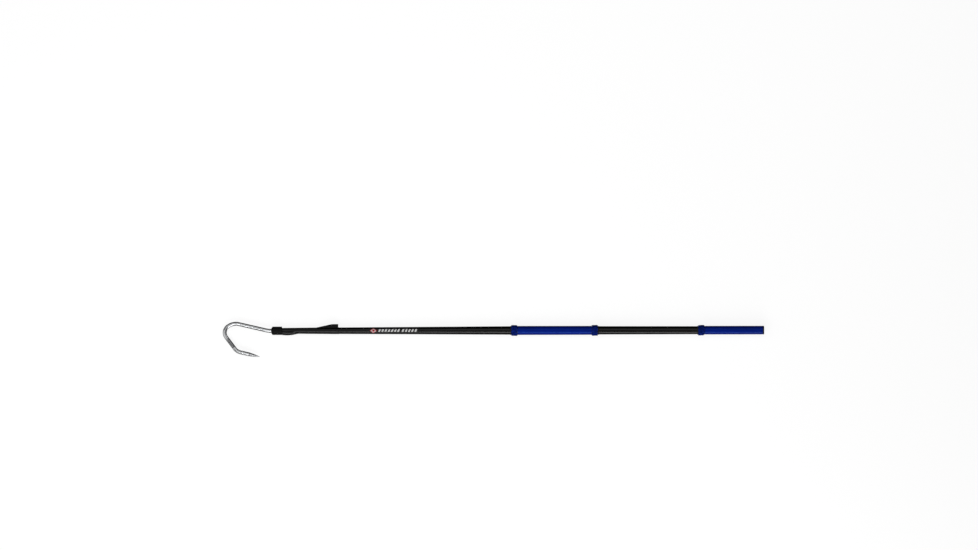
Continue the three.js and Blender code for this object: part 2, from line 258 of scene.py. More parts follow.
# ---------------------------------------------------------------- material helpers
class Look:
    """A procedural material: a Principled shader and short calls for the nodes in front of it."""

    def __init__(self, name, colour, roughness, **settings):
        self.material = bpy.data.materials.new(name)
        self.material.use_nodes = True
        self.tree = self.material.node_tree
        self.shader = self.tree.nodes["Principled BSDF"]
        self.shader.inputs["Base Color"].default_value = (*colour, 1)
        self.shader.inputs["Roughness"].default_value = roughness
        for socket, value in settings.items():
            self.shader.inputs[socket.replace("_", " ")].default_value = value
        self.place = self.node("ShaderNodeTexCoord").outputs["Object"]

    def node(self, kind, *inputs, **settings):
        """A node with its first inputs given in order, each a socket, a number or None."""
        made = self.tree.nodes.new(kind)
        for setting, value in settings.items():
            setattr(made, setting, value)
        for socket, value in zip(made.inputs, inputs):
            self.feed(socket, value)
        return made

    def feed(self, socket, value):
        if value is None:
            return
        if isinstance(value, bpy.types.NodeSocket):
            self.tree.links.new(value, socket)
        else:
            socket.default_value = value

    def math(self, operation, a, b=None, c=None):
        return self.node("ShaderNodeMath", a, b, c, operation=operation).outputs[0]

    def named(self, attribute):
        return self.node("ShaderNodeAttribute", attribute_name=attribute).outputs["Vector"]

    def parts(self, vector):
        return self.node("ShaderNodeSeparateXYZ", vector).outputs

    def joined(self, x, y, z):
        return self.node("ShaderNodeCombineXYZ", x, y, z).outputs[0]

    def stretched(self, vector, x, y, z):
        scale = self.node("ShaderNodeVectorMath", vector, (x, y, z), operation="MULTIPLY")
        return scale.outputs[0]

    def noise(self, vector, scale=1.0, detail=3.0, roughness=0.55):
        made = self.node("ShaderNodeTexNoise")
        self.feed(made.inputs["Vector"], vector)
        self.feed(made.inputs["Scale"], scale)
        self.feed(made.inputs["Detail"], detail)
        self.feed(made.inputs["Roughness"], roughness)
        return made.outputs[0]

    def between(self, value, low, high, to_low=0.0, to_high=1.0):
        """Value from low to high becomes to_low to to_high, with a smooth start and end."""
        made = self.node("ShaderNodeMapRange", value, low, high, to_low, to_high)
        made.interpolation_type = "SMOOTHSTEP"
        return made.outputs[0]

    def mixed(self, share, first, second):
        """A colour from first to second."""
        made = self.node("ShaderNodeMix", data_type="RGBA")
        self.feed(made.inputs["Factor"], share)
        for socket, colour in ((made.inputs[6], first), (made.inputs[7], second)):
            self.feed(socket, (*colour, 1) if isinstance(colour, tuple) else colour)
        return made.outputs[2]

    def colour(self, value):
        self.feed(self.shader.inputs["Base Color"], value)

    def rough(self, value):
        self.feed(self.shader.inputs["Roughness"], value)

    def bump(self, height, depth, strength=1.0):
        """Raises the surface by height times depth, in metres, on top of any earlier bump."""
        made = self.node("ShaderNodeBump")
        made.inputs["Strength"].default_value = strength
        made.inputs["Distance"].default_value = depth
        self.feed(made.inputs["Height"], height)
        normal = self.shader.inputs["Normal"]
        if normal.is_linked:
            self.tree.links.new(normal.links[0].from_socket, made.inputs["Normal"])
        self.feed(normal, made.outputs["Normal"])

    def round_pole(self):
        """(distance along the pole, angle round it from straight up) for a piece about the X axis."""
        x, y, z = self.parts(self.place)
        return x, self.math("ARCTAN2", y, z)


def steel_look():
    """Round bar, polished along its length, with the point ground across it and an etched band of ticks."""
    look = Look("steel_bar", (0.62, 0.63, 0.64), 0.2, Metallic=1.0)
    bar = look.named("bar")
    along, beside, up = look.parts(bar)
    lines = look.noise(look.stretched(bar, 14, 2600, 2600), detail=4)
    patches = look.noise(look.stretched(bar, 60, 160, 160), detail=2)
    rings = look.noise(look.stretched(bar, 5200, 120, 120), detail=3)
    ground = look.between(along, *GROUND)
    grain = look.node("ShaderNodeMix", ground, lines, rings).outputs[0]
    rough = look.math("MULTIPLY_ADD", grain, 0.12, 0.2)
    look.rough(look.math("MULTIPLY_ADD", patches, 0.08, rough))
    # The etched band: slanted ticks inside a window on the bar's upper side.
    start, end = ETCHED
    window = look.math("GREATER_THAN", up, ETCHED_ABOVE)
    window = look.math("MULTIPLY", window, look.math("GREATER_THAN", along, start))
    window = look.math("MULTIPLY", window, look.math("LESS_THAN", along, end))
    slanted = look.math("MULTIPLY_ADD", beside, -0.5, along)
    tick = look.math("PINGPONG", look.math("DIVIDE", slanted, ETCHED_PITCH), 0.5)
    etched = look.math("MULTIPLY", window, look.between(tick, 0.11, 0.17))
    tint = look.mixed(patches, (0.58, 0.59, 0.6), (0.65, 0.66, 0.67))
    tint = look.mixed(ground, tint, (0.42, 0.425, 0.435))
    look.colour(look.mixed(look.math("MULTIPLY", etched, 0.9), tint, (0.045, 0.045, 0.05)))
    look.bump(grain, 0.00002, 0.5)
    look.bump(etched, -0.00006, 0.6)
    return look.material


def carbon_look():
    """Twill tows under a thin satin coat, with painted sheen that makes warp tows lighter than weft tows."""
    look = Look("carbon_twill", (0.003, 0.003, 0.003), 0.3, Specular_IOR_Level=0.2)
    look.shader.inputs["Coat Weight"].default_value = 0.25
    look.shader.inputs["Coat Roughness"].default_value = 0.12
    look.shader.inputs["Coat IOR"].default_value = 1.3
    x, angle = look.round_pole()
    tows_round = 44
    tow = 0.002
    u = look.math("MULTIPLY", angle, tows_round / TURN)
    v = look.math("DIVIDE", x, tow)
    step = look.math("SUBTRACT", look.math("FLOOR", u), look.math("FLOOR", v))
    over = look.math("LESS_THAN", look.math("FLOORED_MODULO", step, 4.0), 2.0)
    across_fibres = 9.0  # the noise is fine across a tow's fibres and long along them
    along_fibres = 0.6
    warp = look.joined(look.math("MULTIPLY", u, across_fibres), look.math("MULTIPLY", v, along_fibres), 0.0)
    weft = look.joined(look.math("MULTIPLY", u, along_fibres), look.math("MULTIPLY", v, across_fibres), 4.0)
    grain = look.node("ShaderNodeMix", over, look.noise(weft, detail=2), look.noise(warp, detail=2)).outputs[0]
    crown_u = look.math("PINGPONG", u, 0.5)
    crown_v = look.math("PINGPONG", v, 0.5)
    crown = look.node("ShaderNodeMix", over, crown_v, crown_u).outputs[0]
    # Painted sheen: warp tows get a lighter colour than weft tows, standing in for how carbon tows catch light
    # by their direction; the grain noise adds random tone.
    painted_sheen_and_tone = look.math("MULTIPLY_ADD", over, 0.5, look.math("MULTIPLY", grain, 0.5))
    look.colour(look.mixed(painted_sheen_and_tone, (0.0004, 0.0004, 0.0004), (0.0048, 0.0048, 0.0051)))
    smudge = look.noise(look.stretched(look.place, 9, 60, 60), detail=3)
    look.rough(look.math("MULTIPLY_ADD", smudge, 0.08, look.math("MULTIPLY_ADD", over, 0.22, 0.12)))
    look.bump(crown, 0.0001, 0.3)
    return look.material


def sleeve_look(name, colour, roughness, specular, tint=0.25, grain=0.00003, gloss=(1, 1, 1)):
    """Heat-shrink tube: satin, a fine grain and faint pull lines along it."""
    look = Look(name, colour, roughness, Specular_IOR_Level=specular)
    look.shader.inputs["Specular Tint"].default_value = (*gloss, 1)
    pull = look.noise(look.stretched(look.place, 12, 420, 420), detail=3)
    fine = look.noise(look.place, 2600, detail=2)
    cloud = look.noise(look.stretched(look.place, 16, 60, 60), detail=3)
    darker = tuple(c * (1 - tint) for c in colour)
    lighter = tuple(c * (1 + tint) for c in colour)
    look.colour(look.mixed(look.between(cloud, 0.3, 0.7), darker, lighter))
    look.rough(look.math("MULTIPLY_ADD", pull, 0.12, roughness - 0.06))
    look.bump(pull, 0.00006, 0.35)
    look.bump(fine, grain, 0.4)
    return look.material


def moulded_look(name, colour, roughness, specular, grain=0.00005):
    """Moulded rubber or nylon: matte, a spark-eroded grain and slightly rubbed high spots."""
    look = Look(name, colour, roughness, Specular_IOR_Level=specular)
    fine = look.noise(look.place, 1800, detail=3, roughness=0.6)
    cloud = look.noise(look.place, 90, detail=3)
    rubbed = look.node("ShaderNodeNewGeometry").outputs["Pointiness"]
    edge = look.between(rubbed, 0.52, 0.6)
    plain = look.mixed(cloud, tuple(c * 0.8 for c in colour), tuple(c * 1.25 for c in colour))
    look.colour(look.mixed(look.math("MULTIPLY", edge, 0.35), plain, tuple(c * 3 + 0.004 for c in colour)))
    look.rough(look.math("MULTIPLY_ADD", cloud, 0.14, roughness - 0.07))
    look.bump(fine, grain, 0.5)
    return look.material


def cord_look(name, colour, light, roughness, gloss):
    """Braided cord: diamond picks that run both ways round the strand, with painted highlight on their crowns.
    """
    look = Look(name, colour, roughness, Specular_IOR_Level=0.2)
    look.shader.inputs["Specular Tint"].default_value = (*gloss, 1)
    strand = look.parts(look.named("strand"))
    pick = TURN / 0.0016
    turns = look.math("MULTIPLY", look.math("ARCTAN2", strand[2], strand[1]), 3.0)
    run = look.math("MULTIPLY", strand[0], pick)
    one = look.math("SINE", look.math("ADD", run, turns))
    other = look.math("SINE", look.math("SUBTRACT", run, turns))
    picks = look.math("MULTIPLY", one, other)
    fuzz = look.noise(look.place, 3500, detail=3)
    fade = look.noise(look.place, 140, detail=2)
    # Painted highlight and shade: raised picks get the lighter colour and the hollows between them the darker
    # one; the fade noise adds random tone.
    painted_sheen_and_tone = look.math("MULTIPLY_ADD", picks, 0.35, look.math("MULTIPLY", fade, 0.9))
    look.colour(look.mixed(look.between(painted_sheen_and_tone, 0.1, 0.9), colour, light))
    look.bump(picks, 0.00012, 0.8)
    look.bump(fuzz, 0.00004, 0.5)
    look.shader.inputs["Sheen Weight"].default_value = 0.1
    look.shader.inputs["Sheen Roughness"].default_value = 0.5
    look.shader.inputs["Sheen Tint"].default_value = (*gloss, 1)
    return look.material


def label_look(centre, length, radius):
    """Printed film: a red lozenge with a light stripe, then a row of slanted bars, all plain shapes."""
    look = Look("label_print", (0.006, 0.006, 0.006), 0.32, Specular_IOR_Level=0.2)
    x, angle = look.round_pole()
    x = look.math("SUBTRACT", x, centre)
    across = look.math("MULTIPLY", angle, radius)
    # Bars: seven, a wider gap, then five.
    inked = 0.58
    groups = (7, 5)
    height = 0.0042
    offset = 0.0006
    first = -length / 2 + 0.035
    last = length / 2 - 0.005
    pitch = (last - first) / (sum(groups) + 1 - inked)
    from_first = look.math("SUBTRACT", look.math("MULTIPLY_ADD", across, -0.45, x), first)
    after_gap = look.math("GREATER_THAN", from_first, groups[0] * pitch)
    slanted = look.math("MULTIPLY_ADD", after_gap, -(1 - inked) * pitch, from_first)
    beat = look.math("FLOORED_MODULO", look.math("DIVIDE", slanted, pitch), 1.0)
    bar = look.math("LESS_THAN", beat, inked)
    tall = look.math("LESS_THAN", look.math("ABSOLUTE", look.math("SUBTRACT", across, offset)), height)
    begin = look.math("GREATER_THAN", slanted, 0.0)
    end = look.math("LESS_THAN", slanted, sum(groups) * pitch)
    bars = look.math("MULTIPLY", look.math("MULTIPLY", bar, tall), look.math("MULTIPLY", begin, end))
    # Lozenge.
    from_middle = look.math("ABSOLUTE", look.math("SUBTRACT", x, -length / 2 + 0.0175))
    up = look.math("ABSOLUTE", across)
    reach = look.math("ADD", look.math("DIVIDE", from_middle, 0.0125), look.math("DIVIDE", up, 0.0088))
    lozenge = look.math("LESS_THAN", reach, 1.0)
    stripe = look.math("LESS_THAN", look.math("ABSOLUTE", look.math("SUBTRACT", reach, 0.62)), 0.12)
    stripe = look.math("MULTIPLY", stripe, lozenge)
    worn = look.noise(look.place, 700, detail=4)
    ink = look.between(worn, 0.25, 0.4)
    shown = (0.007, 0.007, 0.007)
    red, white = (0.42, 0.02, 0.03), (0.7, 0.68, 0.68)
    for shape, tint in ((lozenge, red), (stripe, white), (bars, (0.72, 0.72, 0.72))):
        shown = look.mixed(look.math("MULTIPLY", shape, ink), shown, tint)
    look.colour(shown)
    look.bump(look.math("MAXIMUM", bars, lozenge), 0.00003, 0.5)
    return look.material


def rivet_look():
    look = Look("rivet_black", (0.02, 0.02, 0.021), 0.42, Metallic=0.7)
    scuff = look.noise(look.place, 900, detail=4)
    look.colour(look.mixed(look.between(scuff, 0.55, 0.75), (0.016, 0.016, 0.017), (0.10, 0.10, 0.10)))
    look.rough(look.math("MULTIPLY_ADD", scuff, 0.3, 0.3))
    return look.material


def epoxy_look():
    look = Look("cured_epoxy", (0.5, 0.36, 0.12), 0.3)
    bubbles = look.node("ShaderNodeTexVoronoi")
    look.feed(bubbles.inputs["Vector"], look.place)
    bubbles.inputs["Scale"].default_value = 900
    cloud = look.noise(look.place, 120, detail=3)
    look.colour(look.mixed(cloud, (0.36, 0.23, 0.06), (0.62, 0.48, 0.2)))
    look.bump(bubbles.outputs["Distance"], 0.0001, 0.4)
    return look.material


def foam_look():
    look = Look("closed_cell_foam", (0.7, 0.66, 0.52), 0.9)
    cells = look.node("ShaderNodeTexVoronoi")
    look.feed(cells.inputs["Vector"], look.place)
    cells.inputs["Scale"].default_value = 1400
    tone = look.noise(look.place, 60, detail=3)
    look.colour(look.mixed(tone, (0.62, 0.57, 0.43), (0.78, 0.74, 0.62)))
    look.bump(cells.outputs["Distance"], 0.0003, 0.8)
    return look.material


# ---------------------------------------------------------------- hook
def hook_stations():
    """(x, y, heading, length so far, radius) from the shank's tail to the point."""
    tail = span("gaff_hook")[1]
    stations = []
    pen = {"x": tail, "y": 0.0, "heading": math.pi, "run": 0.0}

    def mark(radius=ROD):
        stations.append((pen["x"], pen["y"], pen["heading"], pen["run"], radius))

    def forward(length):
        pen["x"] += length * math.cos(pen["heading"])
        pen["y"] += length * math.sin(pen["heading"])
        pen["run"] += length

    def forward_to(x):
        forward(pen["x"] - x)

    def straight(length, step=0.006):
        count = max(1, math.ceil(length / step))
        for _ in range(count):
            forward(length / count)
            mark()

    mark(ROD - SHANK_CHAMFER)
    forward(1.5 * SHANK_CHAMFER)
    mark()
    for start in KEY_GROOVES:
        for along in np.linspace(0, 1, 9):
            forward_to(start - along * GROOVE_WIDTH)
            mark(ROD - GROOVE_DEPTH * math.sin(along * math.pi) ** 0.5)
    straight(pen["x"] - SHANK_STRAIGHT_END)
    for kind, amount, *radius in HOOK_PATH:
        if kind == "straight":
            straight(amount)
            continue
        steps = math.ceil(abs(amount) / 2.5)
        turn = math.radians(amount) / steps
        chord = 2 * radius[0] * math.sin(abs(turn) / 2)
        for _ in range(steps):
            pen["heading"] += turn / 2
            forward(chord)
            pen["heading"] += turn / 2
            mark()
    shares = np.sin(np.linspace(0, math.pi / 2, 31))[1:]
    done = 0.0
    for share in shares:
        forward(POINT * (share - done))
        done = share
        mark(ROD * (1 - 0.6 * share - 0.35 * share**3))
    return stations


def hook():
    """The bar, with every point's place along and across it stored for the steel's grain."""
    sides = 48
    stations = np.array(hook_stations())
    angles = circle(sides)
    x, y, heading, run, radius = stations.T
    side = radius[:, None] * np.cos(angles)
    up = radius[:, None] * np.sin(angles)
    rings = np.stack(
        [
            x[:, None] - side * np.sin(heading)[:, None],
            y[:, None] + side * np.cos(heading)[:, None],
            up,
        ],
        axis=2,
    )
    bar = skinned("gaff_hook_bar", rings)
    runs = np.repeat(run, sides)
    straightened = np.vstack([np.c_[runs, side.ravel(), up.ravel()], [(run[0], 0, 0), (run[-1], 0, 0)]])
    uncut = KDTree(len(straightened))
    for i, vertex in enumerate(bar.data.vertices):
        uncut.insert(vertex.co, i)
    uncut.balance()
    clear_of_bar = -0.009
    bore = skinned("bore", turned_rings([(clear_of_bar, SCREW_BORE), (SCREW_BORE_END, SCREW_BORE)], 32))
    cut_by(bar, [stood_along_y(bore, SCREW_X)])
    # The cut drops what was stored on the points, so each takes it from the nearest point of the uncut bar.
    nearest = [uncut.find(vertex.co)[1] for vertex in bar.data.vertices]
    point_vectors(bar, "bar", straightened[nearest])
    return sharp_over(bar, 40)


def dress(piece, look):
    piece.data.materials.clear()
    piece.data.materials.append(look)


def finish_piece(piece, look, slot, *nodes):
    """Gives a piece its material and puts it in the place of its CAD nodes."""
    dress(piece, look)
    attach(piece, "root")
    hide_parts(*nodes)


# ---------------------------------------------------------------- pole and collar
def pole():
    start, end = span("pole_tube")
    edge = 0.0003
    outside = [(start, pole_radius(start), edge)]
    outside += [(x, r, 0) for x, r in zip(POLE_X, POLE_R) if start + 0.01 < x < end - 0.01]
    outside += [(end, pole_radius(end), edge)]
    inside = [(x, r - POLE_WALL, 0) for x, r, _ in reversed(outside)]
    return turned("pole", outside + inside)


def collar():
    start, end = span("nose_collar")
    step = POLE_X[0] - 0.0003  # the tube's end butts against it
    bore = pole_radius(end) + FIT
    corners = [
        (start, ROD + FIT, 0.0003),
        (start, COLLAR_FACE, 0.0004),
        (start + COLLAR_NOSE, COLLAR_RADIUS, 0.0012),
        (end, COLLAR_RADIUS, 0.0009),
        (end, bore, 0.0002),
        (step, bore, 0.0001),
        (step, ROD + FIT, 0.0001),
    ]
    return turned("collar", corners)


def butt_cap():
    inner, outer = span("butt_cap")
    seat = span("pole_tube")[1] + 0.0003
    spigot = POLE_R[-1] - POLE_WALL - FIT
    rim = POLE_R[-1] + GRIP_WALL
    corners = [
        (inner, 0, 0),
        (inner, spigot, 0.0015),
        (seat, spigot, 0.0002),
        (seat, rim, 0.0004),
        (outer, rim, 0.0011),
        (outer, 0, 0),
    ]
    return skinned("butt_end_cap", turned_rings(rounded(corners, closes=False)), closes=False)


# ---------------------------------------------------------------- sleeves
def shell_rows(start, end, step, edge_share, edge):
    """(x, share) rows of a sleeve's closed outline. Share is 0 on the inner face and 1 on the outer face."""
    arc = np.linspace(0, math.pi / 2, 6)
    rows = [(start + edge * (1 - math.cos(a)), 1 - edge_share * (1 - math.sin(a))) for a in arc]
    count = math.ceil((end - start - 2 * edge) / step)
    rows += [(x, 1.0) for x in np.linspace(start + edge, end - edge, count + 1)[1:-1]]
    rows += [(end - edge * (1 - math.sin(a)), 1 - edge_share * (1 - math.cos(a))) for a in arc]
    rows += [(x, 0.0) for x in np.linspace(end, start, max(2, count // 6))]
    return rows


def sleeve(name, start, end, outer, inner, step, edge=0.0003, edge_share=0.6, sides=SIDES):
    """A thin tube whose outer and inner radius are functions of x and the angle round the pole."""
    angles = circle(sides)
    rings = []
    for x, share in shell_rows(start, end, step, edge_share, edge):
        inside = inner(x, angles)
        r = inside + share * (outer(x, angles) - inside)
        rings.append(np.c_[np.full(sides, x), r * np.cos(angles), r * np.sin(angles)])
    return skinned(name, rings, closes=True)


def ripple(x, angles, size):
    """A slow, uneven swelling of shrunk tube, at most size high."""
    waves = (
        np.sin(61 * x + 2 * angles + 0.4)
        + np.sin(97 * x - 3 * angles + 1.9)
        + np.sin(143 * x + angles + 4.2)
        + np.sin(37 * x + 5 * angles)
    )
    return size * 0.25 * waves


def grip(name, node):
    start, end = span(node)
    uneven = 0.00006

    def outer(x, angles):
        return pole_radius(x) + GRIP_WALL - uneven + ripple(x, angles, uneven)

    def inner(x, angles):
        return pole_radius(x) + FIT + 0 * angles

    return sleeve(name, start, end, outer, inner, step=0.004)


def fairing_radius(x):
    """Radius of the teardrop under the tip about its own axis."""
    front = FAIRING_PEAK - 0.0013 * ((SCREW_X - x) / 0.0172) ** 2
    back = FAIRING_PEAK * (1 - (max(x - SCREW_X, 0) / (FAIRING_END - SCREW_X)) ** 1.9)
    return front if x < SCREW_X else max(back, 0.0)


def tip_skin():
    """The black shrink tube over the pole's tip, drawn tight over the fairing on its underside."""
    start, end = span("tip_sleeve")

    def reach(x, angles, extra):
        """How far the teardrop reaches from the pole's axis at each angle."""
        swelling = fairing_radius(x) + extra
        toward = -np.cos(angles)  # the fairing is on the -Y side
        inside = np.maximum(swelling**2 - (FAIRING_DROP * np.sin(angles)) ** 2, 0)
        return FAIRING_DROP * toward + np.sqrt(inside)

    def face(x, angles, offset, softness):
        bare = pole_radius(x) + offset + 0 * angles
        if x >= FAIRING_END:
            return bare
        softness *= min(1, (FAIRING_END - x) / 0.03)
        drawn = smooth_max(bare, reach(x, angles, offset), softness)
        return np.maximum(bare, drawn - 0.25 * softness * math.exp(-((x - SCREW_X) / 0.03) ** 2))

    def outer(x, angles):
        shape = face(x, angles, SKIN + FIT, 0.0026)
        from_end = x - FAIRING_END
        near = 0.00006 * math.exp(-((from_end / 0.016) ** 2))
        creases = near * np.sin(9 * angles + 900 * from_end) * np.maximum(-np.cos(angles), 0)
        return shape + creases + ripple(x, angles, 0.00004)

    def inner(x, angles):
        return face(x, angles, FIT, 0.0012)

    return sleeve("tip_shrink_skin", start, end, outer, inner, step=0.0012, edge=0.0002, sides=128)


# ---------------------------------------------------------------- guard keeper
def keeper_top(x):
    front = span("guard_keeper")[0]
    ramp = KEEPER_TOE_TOP + (KEEPER_TOP - KEEPER_TOE_TOP) * (x - front) / (KEEPER_CREST - front)
    return KEEPER_TOP + 0.5 * ((ramp - KEEPER_TOP) - math.hypot(ramp - KEEPER_TOP, 0.0007))


def keeper_section(x, inset):
    """The keeper's outline across the pole at x, as (y, z) points, pulled in by inset."""
    half = KEEPER_HALF_WIDTH - inset
    saddle = pole_radius(x) + SKIN + 0.0004 + inset * 0.5
    top = keeper_top(x) - inset
    across = np.linspace(-half, half, 25)
    under = np.sqrt(saddle**2 - across**2)
    corner = 0.0012
    bend = np.linspace(0, math.pi / 2, 7)
    shoulder_z = half - corner + corner * np.cos(bend)
    shoulder_y = top - corner + corner * np.sin(bend)
    over_z = np.r_[shoulder_z, np.linspace(half - corner, -(half - corner), 15)[1:-1], -shoulder_z[::-1]]
    over_y = np.r_[shoulder_y, np.full(13, top), shoulder_y[::-1]]
    least = np.sqrt(saddle**2 - over_z**2) + 0.0004
    over_y = smooth_max(over_y, least, 0.0003)
    return np.c_[np.r_[under, over_y], np.r_[across, over_z]]


def keeper():
    start, end = span("guard_keeper")
    edge = 0.0009
    bend = np.linspace(0, math.pi / 2, 6)
    stations = [(start + edge * (1 - math.sin(a)), edge * (1 - math.cos(a))) for a in bend[::-1]]
    stations += [(x, 0.0) for x in np.linspace(start + edge, end - edge, 60)[1:-1]]
    stations += [(end - edge * (1 - math.sin(a)), edge * (1 - math.cos(a))) for a in bend]
    rings = []
    for x, inset in stations:
        section = keeper_section(x, inset)
        rings.append(np.c_[np.full(len(section), x), section])
    body = skinned("point_guard_keeper", rings)
    cutters = []
    for node in ("keeper_rivet_front", "keeper_rivet_rear"):
        low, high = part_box(node)
        seat = high.y - RIVET_HEAD_HEIGHT - FIT
        pocket = [(seat, RIVET_POCKET), (high.y + 0.01, RIVET_POCKET)]
        hole = [(0.004, RIVET_STEM + FIT), (seat + 0.0005, RIVET_STEM + FIT)]
        for outline in (pocket, hole):
            tool = skinned("tool", turned_rings(outline, 40))
            cutters.append(stood_along_y(tool, (low.x + high.x) / 2))
    return sharp_over(cut_by(body, cutters), 35)


def rivet(name, node):
    low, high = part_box(node)
    bottom = low.y
    top = high.y
    seat = top - RIVET_HEAD_HEIGHT
    bulb = 0.0025
    bulb_top = bottom + 0.0030
    mandrel = 0.0009  # the broken end of the pull stem, sunk in the head
    sunk = top - 0.0005
    corners = [
        (bottom, 0, 0),
        (bottom, RIVET_STEM, 0.0003),
        (bottom + 0.0018, bulb, 0.0010),
        (bulb_top, bulb - 0.0003, 0.0002),
        (bulb_top, RIVET_STEM, 0),
        (seat, RIVET_STEM, 0),
        (seat, RIVET_HEAD, 0.0002),
        (seat + 0.0006, RIVET_HEAD * 0.92, 0.0005),
        (top, 0.0014, 0.0004),
        (top - 0.0001, mandrel, 0.0001),
        (sunk, mandrel - 0.00005, 0.0001),
        (sunk, 0, 0),
    ]
    made = skinned(name, turned_rings(rounded(corners, closes=False), 48))
    return sharp_over(stood_along_y(made, (low.x + high.x) / 2), 50)


# ---------------------------------------------------------------- corded ends
def cords(name, routes, radius, closes, sides=14):
    """Round cord along routes of points, in one piece, with each strand's own coordinates stored on it."""
    points, faces, strand = [], [], []
    angles = circle(sides)
    for route in routes:
        ahead = np.roll(route, -1, 0) - np.roll(route, 1, 0)
        if not closes:
            ahead[0] = route[1] - route[0]
            ahead[-1] = route[-1] - route[-2]
        ahead /= np.linalg.norm(ahead, axis=1)[:, None]
        out = route * (0, 1, 1)
        out -= ahead * np.sum(out * ahead, 1)[:, None]
        out /= np.linalg.norm(out, axis=1)[:, None]
        beside = np.cross(ahead, out)
        rings = route[:, None] + radius * (
            np.cos(angles)[None, :, None] * out[:, None] + np.sin(angles)[None, :, None] * beside[:, None]
        )
        steps = np.linalg.norm(np.diff(route, axis=0), axis=1)
        run = np.r_[0, np.cumsum(steps)]
        first = len(points)
        points += rings.reshape(-1, 3).tolist()
        faces += grid_faces(len(route), sides, closes, first=first)
        strand += [(s, radius * math.cos(a), radius * math.sin(a)) for s in run for a in angles]
        if not closes:
            for ring, centre in ((0, route[0]), (len(route) - 1, route[-1])):
                start = first + ring * sides
                faces += [(start + i, start + (i + 1) % sides, len(points)) for i in range(sides)]
                points.append(centre.tolist())
                strand.append((run[0 if ring == 0 else -1], 0, 0))
    made = piece_from(name, points, faces)
    point_vectors(made, "strand", strand)
    return made


def knot(name, node, phase):
    """A Turk's head of three leads and seven bights, passed four times, that weaves over and under."""
    start, end = span(node)
    leads, bights, passes = 3, 7, 4
    pitch = 0.93 * KNOT_CORD
    radius = KNOT_CORD / 2
    middle = (start + end) / 2
    swing = (end - start) / 2 - radius - pitch * (passes - 1) / 2
    ground = pole_radius(middle) + radius + 0.00015
    rise = 1.05 * KNOT_CORD
    t = np.linspace(0, TURN, 900, endpoint=False)
    round_pole = leads * t
    reach = ground + rise / 2
    beat = bights * t
    # Runs along the pole and round it, and the direction square to the strand in that surface.
    along = swing * np.sin(beat)
    slope_x = swing * bights * np.cos(beat)
    slope_a = np.full_like(t, leads * reach)
    length = np.hypot(slope_x, slope_a)
    square_x, square_a = slope_a / length, -slope_x / length
    over = np.tanh(2.2 * np.sin(2 * beat)) / math.tanh(2.2)
    routes = []
    for lane in range(passes):
        shift = (lane - (passes - 1) / 2) * pitch
        x = middle + along + shift * square_x
        angle = round_pole + shift * square_a / reach + phase
        r = ground + rise * (over + 1) / 2
        routes.append(np.c_[x, r * np.cos(angle), r * np.sin(angle)])
    return cords(name, routes, radius, closes=True)


def whipping(name, node, phase):
    """Turns of thin cord laid side by side, with each end tucked down beside the knot."""
    start, end = span(node)
    turns = round((end - start) / WHIPPING_CORD)
    radius = WHIPPING_CORD / 2
    t = np.linspace(0, turns, turns * 72 + 1)
    pitch = (end - start - 2 * radius) / turns
    x = start + radius + pitch * t
    tuck = np.clip(1 - np.minimum(t, turns - t) / 0.06, 0, 1) ** 2
    r = pole_radius(x) + radius + 0.00008 - 0.0012 * tuck
    angle = TURN * t + phase
    route = np.c_[x, r * np.cos(angle), r * np.sin(angle)]
    return cords(name, [route], radius * 0.97, closes=False)


# ---------------------------------------------------------------- label
def label():
    start, end = span("pole_label")
    half_arc = 0.0102  # half of the film's width, measured round the pole
    corner = 0.003
    film = 0.00022
    gap = 0.00012
    columns = 41
    fine = np.linspace(0, corner, 7)
    stations = np.r_[start + fine, np.linspace(start + corner, end - corner, 60)[1:-1], end - fine[::-1]]
    across = np.linspace(-1, 1, columns)
    rings = []
    for x in stations:
        from_end = min(x - start, end - x)
        short = corner - math.sqrt(max(corner**2 - max(corner - from_end, 0) ** 2, 0))
        r = pole_radius(x)
        angles = across * (half_arc - short) / r
        outer, inner = (
            np.c_[np.full(columns, x), reach * np.sin(angles), reach * np.cos(angles)]
            for reach in (r + gap + film, r + gap)
        )
        rings.append(np.vstack([outer, inner[::-1]]))
    rings = np.array(rings)
    count, sides = rings.shape[:2]
    faces = grid_faces(count, sides, rows_close=False)
    for first in (0, (count - 1) * sides):
        last = first + sides - 1
        faces += [(first + i, first + i + 1, last - 1 - i, last - i) for i in range(columns - 1)]
    return sharp_over(piece_from("printed_label", rings.reshape(-1, 3), faces), 40)


# ---------------------------------------------------------------- the object
BLUE = (0.0016, 0.0105, 0.205)
# The butt cap's colour: darker than the grip blue, as painted shade at the butt's end.
NAVY_END_SHADE = (0.0025, 0.0035, 0.030)
BLACK = (0.0012, 0.0012, 0.0013)

steel = steel_look()
carbon = carbon_look()
black_sleeve = sleeve_look("black_shrink", BLACK, 0.3, 0.25, tint=0.15)
blue_sleeve = sleeve_look("blue_shrink", BLUE, 0.32, 0.35, tint=0.12, gloss=(0.08, 0.3, 1.0))
collar_rubber = moulded_look("collar_rubber", (0.003, 0.003, 0.0031), 0.62, 0.13)
nylon = moulded_look("black_nylon", (0.0024, 0.0024, 0.0025), 0.55, 0.13)
# The butt cap's rubber, made dark navy as painted shade at the butt's end.
end_shade_cap_rubber = moulded_look("navy_rubber", NAVY_END_SHADE, 0.6, 0.25)
blue_cord = cord_look("blue_cord", (0.0008, 0.003, 0.05), (0.006, 0.026, 0.34), 0.6, (0.1, 0.3, 1.0))
black_cord = cord_look("black_cord", (0.0008, 0.0008, 0.002), (0.006, 0.006, 0.012), 0.6, (1, 1, 1))

finish_piece(hook(), steel, "steel", "gaff_hook")
finish_piece(pole(), carbon, "carbon", "pole_tube")
finish_piece(collar(), collar_rubber, "black_rubber", "nose_collar")
finish_piece(tip_skin(), black_sleeve, "black_sleeve", "tip_sleeve")
finish_piece(keeper(), nylon, "black_nylon", "guard_keeper")
black_rivet = rivet_look()
for node in ("keeper_rivet_front", "keeper_rivet_rear"):
    finish_piece(rivet(f"{node}_set", node), black_rivet, "rivet", node)

